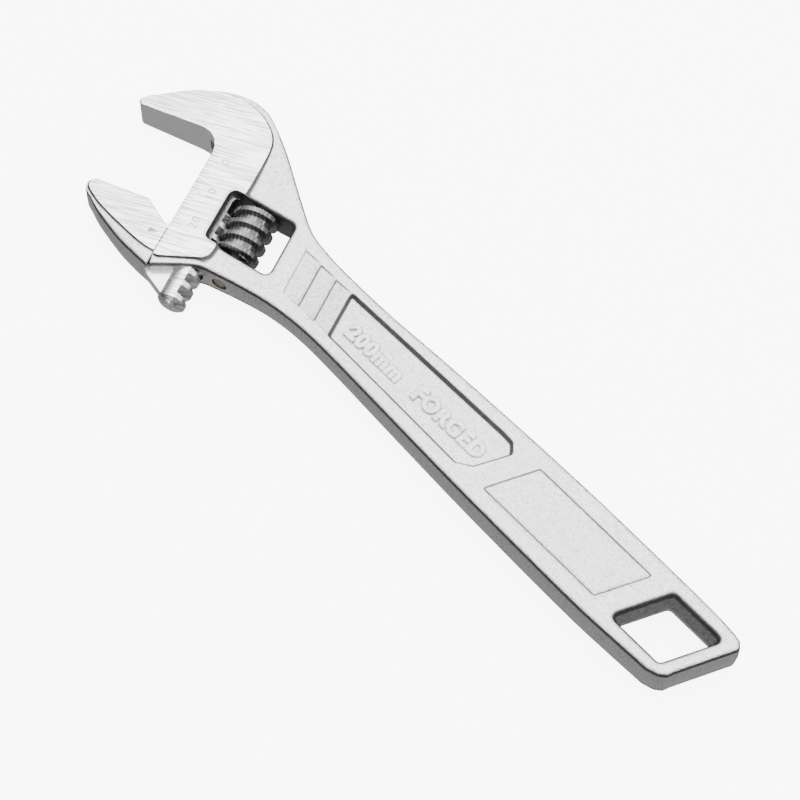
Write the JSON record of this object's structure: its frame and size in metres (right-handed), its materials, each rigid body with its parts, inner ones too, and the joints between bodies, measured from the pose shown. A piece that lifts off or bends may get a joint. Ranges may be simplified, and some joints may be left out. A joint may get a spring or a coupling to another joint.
{
  "type": "adjustable wrench",
  "caption": "Adjustable wrench with a forged relieved handle, fixed jaw, sliding toothed jaw, knurled worm and a slanted hang hole.",
  "frame": {"origin": "on the handle's middle line, 5 mm behind the throat, on the ground back cheek of the head", "axes": "+X along the handle towards the hang-hole end, +Y towards the fixed-jaw side, +Z from the back cheek to the front cheek"},
  "size_m": [0.2104, 0.0557, 0.0122],
  "materials": {
    "handle_body": "satin chrome over a pebbled forging, cheeks ground bright",
    "movable_jaw": "satin chrome over a pebbled forging, cheeks ground bright",
    "worm": "dark phosphated flanks with bright knurled crests",
    "worm_pin": "plain turned steel, slightly tan at its end",
    "worm_spring": "drawn spring wire"
  },
  "bodies": {
    "body": {"handle_body": "handle_body", "worm_pin": "worm_pin", "worm_spring": "worm_spring"},
    "jaw": {"movable_jaw": "movable_jaw"},
    "worm": {"worm": "worm"}
  },
  "joints": [
    {"name": "worm_spin", "type": "hinge", "parent": "body", "child": "worm", "pos_m": [0.0144, -0.00138, 0.0057], "axis": [0.3827, -0.9239, 0], "range_deg": [-55, 2300]},
    {"name": "jaw_slide", "type": "slide", "parent": "body", "child": "jaw", "axis": [0.3827, -0.9239, 0], "range_m": [-0.0249, 0.00059]}
  ],
  "couplings": [
    {"joint": "worm_spin", "follows": "jaw_slide", "rad_per_m": -1611.1}
  ]
}
